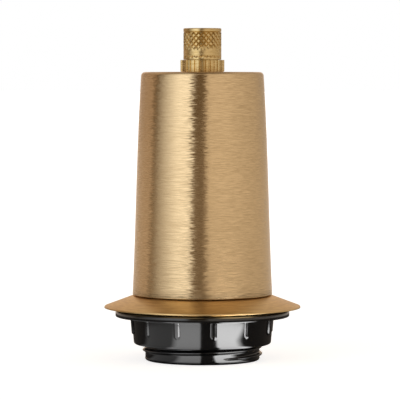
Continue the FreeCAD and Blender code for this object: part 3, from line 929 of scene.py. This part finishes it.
black = moulded("black_thermoset", dark=(0.004, 0.004, 0.0045), light=(0.007, 0.007, 0.008),
                roughness=0.11, coat=0.2, ior=1.6, wave=0.05)
porcelain = moulded("white_porcelain", dark=(0.80, 0.78, 0.72), light=(0.88, 0.87, 0.83),
                    roughness=0.2, coat=0.6, ior=1.5, wave=0.2)
nylon = moulded("clear_nylon", dark=(0.66, 0.65, 0.60), light=(0.76, 0.75, 0.70),
                roughness=0.45, coat=0.0, ior=1.5, wave=0.15)
zinc = plated("zinc_steel", dark=(0.50, 0.51, 0.52), light=(0.68, 0.69, 0.70), roughness=0.35)
nickel = plated("nickelled_brass", dark=(0.58, 0.56, 0.50), light=(0.74, 0.72, 0.66), roughness=0.24)
print("other finishes:", black.name, porcelain.name, nylon.name, zinc.name, nickel.name)

# %% [markdown]
# ## Handing out the finishes
#
# Each solid and each new piece names the finish it is made in, its slot. One table turns slots into
# materials, so a solid and the piece that stands for it can't end up in different metals.

# %% Assign the materials
FINISHES = {"brushed_brass": cup_brass, "satin_brass": flange_brass, "turned_brass": turned_brass,
            "black_thermoset": black, "white_porcelain": porcelain, "clear_nylon": nylon,
            "zinc_steel": zinc, "nickelled_brass": nickel}
solids = [(frame["nodes"][part["node"]], part["material_slot"]) for part in frame["record"]["subparts"]]
for obj, slot in solids + new_pieces:
    obj.data.materials.clear()
    obj.data.materials.append(FINISHES[slot])
print("dressed", len(solids), "solids and", len(new_pieces), "pieces")

# %% [markdown]
# ## The studio
#
# Polished round things show what stands round them, so a studio lights them with a ring of soft
# panels. A bright cool panel stands at the left, a wide warm one runs round the right, dimmer ones
# close the ring behind, and a narrow dark gap is left where the camera stands. That gap is the dark
# stripe down the middle of the cup. Higher up, the ceiling bounces the light and evens the ring out,
# and straight overhead it is dark, which draws the thin brown line round the cup's shoulder. The
# ring is painted on the world by bearing, in degrees to the right of the camera, because a panel's
# soft edges are then just two ramps. The camera itself sees white there, as in the photograph.
#
# A panel is a first bearing and its softness, a last bearing and its softness, and a colour.

# %% Put up the ring of panels
ROOM = (0.115, 0.072, 0.032)
PANELS = {
    "left_key": (-69.0, 50.0, -19.5, 9.0, (1.42, 1.49, 1.56)),
    "right_fill": (6.5, 5.0, 140.0, 200.0, (0.83, 0.745, 0.65)),
    "left_side": (-200.0, 10.0, -100.0, 12.0, (0.45, 0.345, 0.27)),
}
BACK_BEARING = 165.0
BACK_SOFTNESS = 30.0
BACK_COLOUR = (0.80, 0.60, 0.44)


def part_of(place, index):
    """The X, Y or Z part of a vector field."""
    return place.node("ShaderNodeSeparateXYZ", None, index, Vector=place)


def bearing_of(place):
    """Degrees to the right of the camera, seen from the axis."""
    return part_of(place, 0).math("ARCTAN2", part_of(place, 1) * -1.0) * math.degrees(1.0)


def between(bearing, first, first_soft, last, last_soft):
    """1 from one bearing to another and 0 elsewhere, with a soft ramp centred on each."""
    rise = ramp(bearing, first - first_soft / 2, first_soft)
    return rise * ramp(bearing, last + last_soft / 2, -last_soft)


def ring_light(bearing):
    """The colour of the ring of panels at a bearing."""
    light = ROOM
    for first, first_soft, last, last_soft, colour in PANELS.values():
        light = between(bearing, first, first_soft, last, last_soft).mix(light, colour)
    behind = ramp(bearing.math("ABSOLUTE"), BACK_BEARING - BACK_SOFTNESS / 2, BACK_SOFTNESS)
    return behind.mix(light, BACK_COLOUR)


print("panels:", ", ".join(PANELS), "and one behind")

# %% [markdown]
# The world's colour is then put together from the horizon up: the ring of panels, the light that the
# ceiling bounces, and the dark patch overhead. Heights here are those of a point on a globe of
# radius 1 round the holder, so 0 is level and 1 is straight up.

# %% Paint the world
BOUNCE = (0.55, 0.49, 0.43)
BOUNCE_HEIGHT = 0.45
BOUNCE_SOFTNESS = 0.25
BOUNCE_SHARE = 0.45
PANEL_TOP = 0.80
TOP_SOFTNESS = 0.16
WHITE = (1, 1, 1)
world = bpy.data.worlds.new("studio")
bpy.context.scene.world = world
world.use_nodes = True
sky_tree = world.node_tree
sky_place = given(sky_tree, "ShaderNodeTexCoord", "Generated")
sky_height = part_of(sky_place, 2)
bounced = ramp(sky_height, BOUNCE_HEIGHT - BOUNCE_SOFTNESS / 2, BOUNCE_SOFTNESS) * BOUNCE_SHARE
walls = bounced.mix(ring_light(bearing_of(sky_place)), BOUNCE)
room_light = ramp(sky_height, PANEL_TOP, TOP_SOFTNESS).mix(walls, ROOM)
seen_light = given(sky_tree, "ShaderNodeLightPath", "Is Camera Ray").mix(room_light, WHITE)
sky_tree.links.new(seen_light.socket, sky_tree.nodes["Background"].inputs["Color"])
print("world:", len(sky_tree.nodes), "nodes")

# %% [markdown]
# ## The floor
#
# The floor has two jobs that pull apart: it should look white to the camera, and it should be a plain
# pale sheet that holds the holder's soft shadow. So it is a pale sheet first, and glows a little for the
# camera.
#
# Mirror rays are told apart from the camera's. Close to the holder they meet a dark patch painted on the
# sheet for them alone: a painted dark reflection in the glossy black, where the camera still sees the
# pale sheet.

# %% Lay the floor
FLOOR_SIZE = 60.0
SHEET_DARK = (0.70, 0.70, 0.69)
SHEET_LIGHT = (0.74, 0.74, 0.73)
SHEET_CLOUD = 8.0
# The grey of the painted dark reflection, seen by mirror rays only.
PAINTED_DARK_REFLECTION = (0.13, 0.13, 0.13)
DARK_REFLECTION_EDGE = 0.25
DARK_REFLECTION_SOFTNESS = 0.06
floor_mesh = bmesh.new()
bmesh.ops.create_grid(floor_mesh, x_segments=1, y_segments=1, size=FLOOR_SIZE / 2)
floor_data = bpy.data.meshes.new("floor")
floor_mesh.to_mesh(floor_data)
floor_mesh.free()
floor = bpy.data.objects.new("floor", floor_data)
bpy.context.scene.collection.objects.link(floor)

floor_material, floor_shader, floor_place = surface("pale_floor", Roughness=0.9, Specular_IOR_Level=0.1)
floor_data.materials.append(floor_material)
floor_tree = floor_material.node_tree
camera_ray = given(floor_tree, "ShaderNodeLightPath", "Is Camera Ray")
glossy_ray = given(floor_tree, "ShaderNodeLightPath", "Is Glossy Ray")
mirror_ray = (glossy_ray + given(floor_tree, "ShaderNodeLightPath", "Is Transmission Ray")).clamped()
apart = floor_place.node("ShaderNodeVectorMath", {"operation": "LENGTH"}, 1, i0=floor_place)
# Where the painted dark reflection lies: a round patch about the holder.
painted_dark_reflection = ramp(apart, DARK_REFLECTION_EDGE, -DARK_REFLECTION_SOFTNESS)
sheet = noise(floor_place, SHEET_CLOUD).mix(SHEET_DARK, SHEET_LIGHT)
feed(floor_shader, Base_Color=(painted_dark_reflection * mirror_ray).mix(sheet, PAINTED_DARK_REFLECTION))
print("floor", FLOOR_SIZE, "m across, with a cloth of", DARK_REFLECTION_EDGE, "m round the holder")

# %% [markdown]
# Three bright glowing patches are painted on the dark patch in front of the holder, for mirror rays only.
# They are painted reflections, the pale fields in the black plastic. Behind the holder there are none,
# because the black limbs would mirror them and melt into the white ground. The patches are drawn by
# bearing, as the panels are, and by how far a place is from the axis. The right one has a slanting outer
# edge, and goes farther round only well in front. All three are a little dimmer close to the holder and
# stop short of it, which is painted shade there.

# %% Paint the reflections in the black
REFLECTIONS_EDGE = 0.086
REFLECTIONS_EDGE_SOFTNESS = 0.010
REFLECTIONS_START = 0.0195
REFLECTIONS_START_SOFTNESS = 0.004
LEFT_REFLECTION = (-37.0, 10.0, -2.5, 2.0)
SIDE_REFLECTION = (-88.0, 10.0, -34.0, 6.0)
RIGHT_REFLECTION_START = (18.5, 3.0)
RIGHT_REFLECTION_END = (100.0, 10.0)
SLANT_BEARING = 43.0
SLANT = 200.0
SLANT_SOFTNESS = 12.0
FRONT_LINE = -0.032
FRONT_SOFTNESS = 0.008
RIGHT_GLOW = 9.5
LEFT_GLOW = 2.8
SIDE_GLOW = 0.45
DIM_PLACE = 0.03
DIM_SHARE = 0.75
DIM_SLOPE = 10.0
floor_bearing = bearing_of(floor_place)
well_in_front = ramp(part_of(floor_place, 1), FRONT_LINE, -FRONT_SOFTNESS)
front_part = between(floor_bearing, *RIGHT_REFLECTION_START, *RIGHT_REFLECTION_END) * well_in_front
slanting_edge = (REFLECTIONS_EDGE - apart) * SLANT + SLANT_BEARING
slanting_part = between(floor_bearing, *RIGHT_REFLECTION_START, slanting_edge, SLANT_SOFTNESS)
right_painted_reflection = front_part.math("MAXIMUM", slanting_part)
left_painted_reflection = between(floor_bearing, *LEFT_REFLECTION)
side_painted_reflection = between(floor_bearing, *SIDE_REFLECTION)
reflection_extent = (ramp(apart, REFLECTIONS_EDGE, -REFLECTIONS_EDGE_SOFTNESS)
               * ramp(apart, REFLECTIONS_START, REFLECTIONS_START_SOFTNESS))
# Painted shade: the painted reflections grow dimmer close to the holder.
dimmer_inside = ((apart - DIM_PLACE) * DIM_SLOPE + DIM_SHARE).math("MINIMUM", 1)
# The glow of the painted reflections, seen by mirror rays only.
reflection_glow = right_painted_reflection * RIGHT_GLOW + left_painted_reflection * LEFT_GLOW + side_painted_reflection * SIDE_GLOW
painted_reflections = reflection_glow * (reflection_extent * dimmer_inside)
print("cards reach", REFLECTIONS_EDGE, "m from the axis")

# %% [markdown]
# The glow is added to what the sheet sends back. To the camera it is white, and weaker close to the
# holder, where the shadow should show. To mirror rays it is the painted reflections in front. Outside the
# dark patch it is a painted reflection of the panels' own light, as a glossy table would send it back,
# though the sheet itself is matt. The sheet's lower side is left clear, and so is the round of it that
# the skirt's mouth covers, so that the socket can be looked into from below with light in it.

# %% Light the floor and clear its lower side
NEAR_GLOW = 0.76
NEAR_EDGE = 0.10
FAR_EDGE = 0.40
TABLE_SHINE = 0.56
CLEAR_MARGIN = 0.001
CLEAR_SOFTNESS = 0.0005
far = ramp(apart, NEAR_EDGE, FAR_EDGE - NEAR_EDGE)
white_glow = camera_ray * (far * (1 - NEAR_GLOW) + NEAR_GLOW)
glow = floor_place.node("ShaderNodeEmission", Color=(*WHITE, 1), Strength=white_glow + painted_reflections * mirror_ray)
# The painted reflection of the panels, for mirror rays outside the dark patch.
shine = floor_place.node("ShaderNodeEmission", Color=ring_light(floor_bearing),
                         Strength=(1 - painted_dark_reflection) * mirror_ray * TABLE_SHINE)
added = floor_place.node("ShaderNodeAddShader", i0=glow, i1=shine)
lit = floor_place.node("ShaderNodeAddShader", i0=Field(floor_tree, floor_shader.outputs[0]), i1=added)
lower_side = given(floor_tree, "ShaderNodeNewGeometry", "Backfacing")
under_mouth = ramp(apart, mouth * MM - CLEAR_MARGIN, -CLEAR_SOFTNESS)
clear = floor_place.node("ShaderNodeBsdfTransparent")
one_sided = floor_place.node("ShaderNodeMixShader", i0=lower_side.math("MAXIMUM", under_mouth),
                             i1=lit, i2=clear)
floor_tree.links.new(one_sided.socket, floor_tree.nodes["Material Output"].inputs["Surface"])
print("floor material:", len(floor_tree.nodes), "nodes")

# %% [markdown]
#
# The Standard view writes colours as they are, with no film curve.

# %% Set the view and finish
bpy.context.scene.view_settings.view_transform = "Standard"
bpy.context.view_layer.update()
